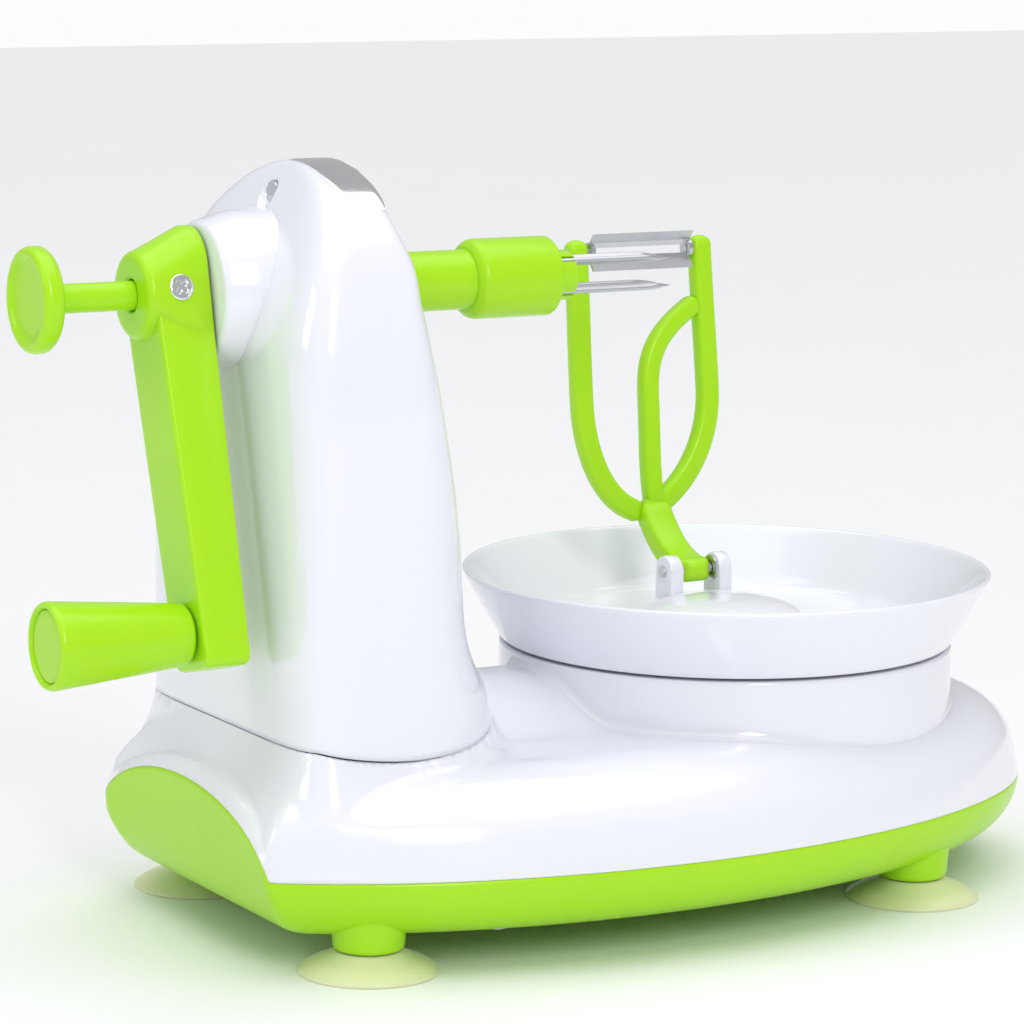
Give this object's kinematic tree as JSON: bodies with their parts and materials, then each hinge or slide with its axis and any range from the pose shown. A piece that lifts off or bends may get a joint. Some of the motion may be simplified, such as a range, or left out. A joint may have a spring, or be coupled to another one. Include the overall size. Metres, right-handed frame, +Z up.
{
  "type": "apple peeler",
  "caption": "Hand-cranked apple peeler on suction feet, with a fork spindle, push-rod ejector, geared swinging blade arm and a round peel bowl.",
  "frame": {"origin": "middle of the bounding box, on the table under the suction cups", "axes": "+X along the spindle from the crank to the fork, +Y the far side, +Z up"},
  "size_m": [0.29, 0.1552, 0.1938],
  "materials": {
    "lime_plastic": "gloss",
    "white_plastic": "gloss",
    "olive_cup": "satin, translucent",
    "steel": "brushed",
    "chrome": "bright",
    "nylon": "matt"
  },
  "bodies": {
    "base": {"base_pan": "lime_plastic", "base_shell": "white_plastic", "base_screws": "steel", "suction_cup_front_crank": "olive_cup", "suction_cup_front_bowl": "olive_cup", "suction_cup_back_crank": "olive_cup", "suction_cup_back_bowl": "olive_cup", "tower_shell": "white_plastic", "tower_screws": "steel", "crest_strip": "chrome", "crest_screw": "steel", "rear_bush": "nylon", "front_bush": "nylon", "gear_deck": "nylon", "deck_screws": "steel", "top_bracket": "nylon", "idler_pin": "steel", "post_bush": "nylon", "peel_bowl": "white_plastic"},
    "crank": {"spindle": "lime_plastic", "worm": "nylon", "fork_prongs": "steel", "crank_arm": "lime_plastic", "crank_screw": "chrome", "grip_pin": "steel", "eject_spring": "steel"},
    "grip": {"crank_grip": "lime_plastic", "grip_cap": "lime_plastic"},
    "ejector": {"push_knob": "lime_plastic", "push_rod": "lime_plastic", "ejector_head": "lime_plastic"},
    "drive_shaft": {"layshaft": "steel", "worm_wheel": "nylon", "drive_pinion": "nylon"},
    "idler": {"idler_gear": "nylon"},
    "turntable": {"arm_gear": "nylon", "arm_post": "steel", "arm_hub": "white_plastic", "arm_pin": "steel", "arm_spring": "steel"},
    "arm": {"peeler_arm": "lime_plastic", "blade_pins": "steel"},
    "blade": {"blade": "steel"}
  },
  "joints": [
    {"name": "crank_turn", "type": "hinge", "parent": "base", "child": "crank", "pos_m": [0, 0, 0.162], "axis": [1, 0, 0], "range_deg": [-1800, 2880]},
    {"name": "grip_spin", "type": "hinge", "parent": "crank", "child": "grip", "pos_m": [-0.125, -0.02092, 0.08168], "axis": [1, 0, 0], "continuous": true},
    {"name": "eject_slide", "type": "slide", "parent": "crank", "child": "ejector", "axis": [1, 0, 0], "range_m": [0, 0.018], "stiffness_N_per_m": 250, "springref_m": -0.006, "deforming": ["eject_spring"]},
    {"name": "drive_shaft_turn", "type": "hinge", "parent": "base", "child": "drive_shaft", "pos_m": [-0.0675, 0.02225, 0.1], "axis": [0, 0, 1], "range_deg": [-165, 105]},
    {"name": "idler_turn", "type": "hinge", "parent": "base", "child": "idler", "pos_m": [-0.0114, 0.00532, 0.032], "axis": [0, 0, 1], "range_deg": [-27, 43]},
    {"name": "arm_swing", "type": "hinge", "parent": "base", "child": "turntable", "pos_m": [0.059, 0, 0.07], "axis": [0, 0, 1], "range_deg": [-82, 52]},
    {"name": "arm_lean", "type": "hinge", "parent": "turntable", "child": "arm", "pos_m": [0.059, 0.016, 0.079], "axis": [-1, 0, 0], "range_deg": [-5, 20], "stiffness_Nm_per_rad": 0.5, "deforming": ["arm_spring"]},
    {"name": "blade_swivel", "type": "hinge", "parent": "arm", "child": "blade", "pos_m": [0.059, 0.0474, 0.162], "axis": [1, 0, 0], "range_deg": [-15, 15]}
  ],
  "couplings": [
    {"joint": "drive_shaft_turn", "follows": "crank_turn", "ratio": -0.055556},
    {"joint": "idler_turn", "follows": "crank_turn", "ratio": 0.014337},
    {"joint": "arm_swing", "follows": "crank_turn", "ratio": -0.027778}
  ]
}
